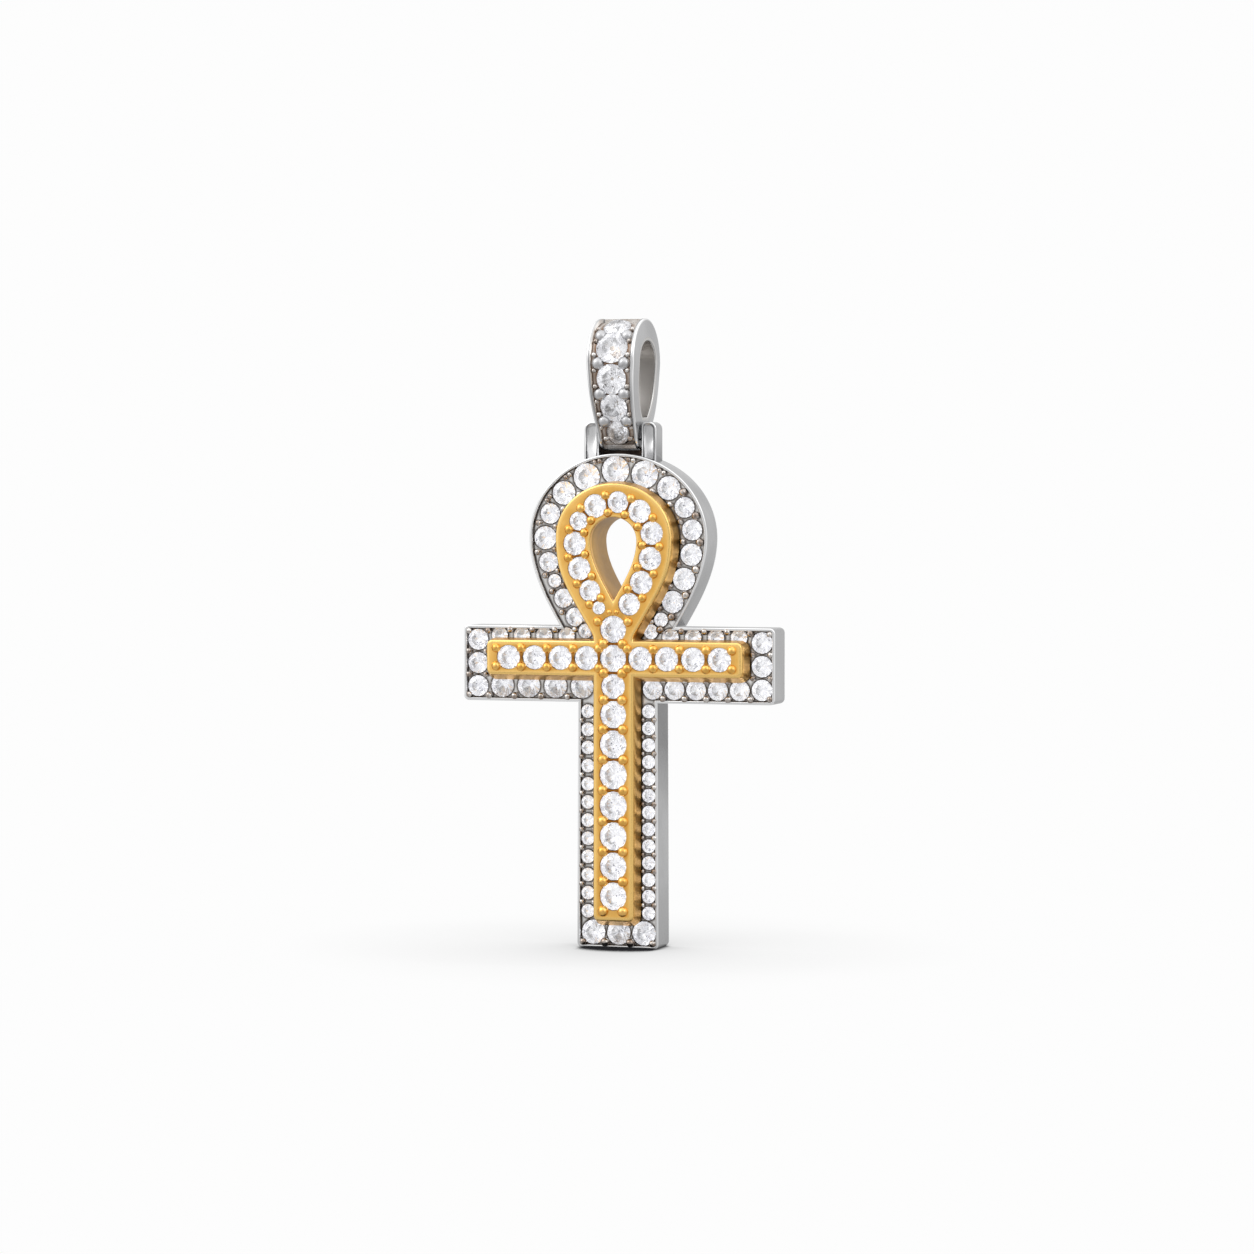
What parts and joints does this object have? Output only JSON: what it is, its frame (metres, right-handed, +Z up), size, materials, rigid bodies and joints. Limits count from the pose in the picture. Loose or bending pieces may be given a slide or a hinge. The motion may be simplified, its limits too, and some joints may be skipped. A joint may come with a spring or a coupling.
{
  "type": "ankh pendant",
  "caption": "Two-layer ankh pendant: a raised yellow-gold ankh of set stones on a stone-edged white-metal plate, swinging on a stone-set bail.",
  "frame": {"origin": "where a chain bears, at the middle of the inside top of the bail's opening", "axes": "+Z up as the pendant hangs, -Y out of its stone-set front, +X to its right seen from the front"},
  "size_m": [0.031, 0.0086, 0.06],
  "materials": {
    "white_metal": "polished sterling silver, lightly rounded edges",
    "yellow_gold": "satin yellow gold with polished beads",
    "small_stones": "single-cut clear stones",
    "cut_stones": "brilliant-cut clear stones"
  },
  "bodies": {
    "bail": {"bail": "white_metal", "bail_stone_1": "cut_stones", "bail_stone_2": "cut_stones", "bail_stone_3": "cut_stones", "bail_stone_4": "cut_stones", "bail_stone_5": "cut_stones"},
    "pendant": {"base_plate": "white_metal", "gold_ankh": "yellow_gold", "hinge_pin": "white_metal", "plate_stones": "small_stones", "centre_stone": "cut_stones", "junction_stone": "cut_stones", "loop_stone_1": "cut_stones", "loop_stone_2": "cut_stones", "loop_stone_3": "cut_stones", "loop_stone_4": "cut_stones", "loop_stone_5": "cut_stones", "loop_stone_6": "cut_stones", "loop_stone_7": "cut_stones", "loop_stone_8": "cut_stones", "loop_stone_9": "cut_stones", "loop_stone_10": "cut_stones", "loop_stone_11": "cut_stones", "loop_stone_12": "cut_stones", "stem_stone_1": "cut_stones", "stem_stone_2": "cut_stones", "stem_stone_3": "cut_stones", "stem_stone_4": "cut_stones", "stem_stone_5": "cut_stones", "stem_stone_6": "cut_stones", "stem_stone_7": "cut_stones", "stem_stone_8": "cut_stones", "left_arm_stone_1": "cut_stones", "left_arm_stone_2": "cut_stones", "left_arm_stone_3": "cut_stones", "left_arm_stone_4": "cut_stones", "right_arm_stone_1": "cut_stones", "right_arm_stone_2": "cut_stones", "right_arm_stone_3": "cut_stones", "right_arm_stone_4": "cut_stones"}
  },
  "joints": [
    {"name": "bail_swing", "type": "hinge", "parent": "bail", "child": "pendant", "pos_m": [0, -0.0004, -0.00895], "axis": [1, 0, 0], "range_deg": [-50, 50]}
  ]
}
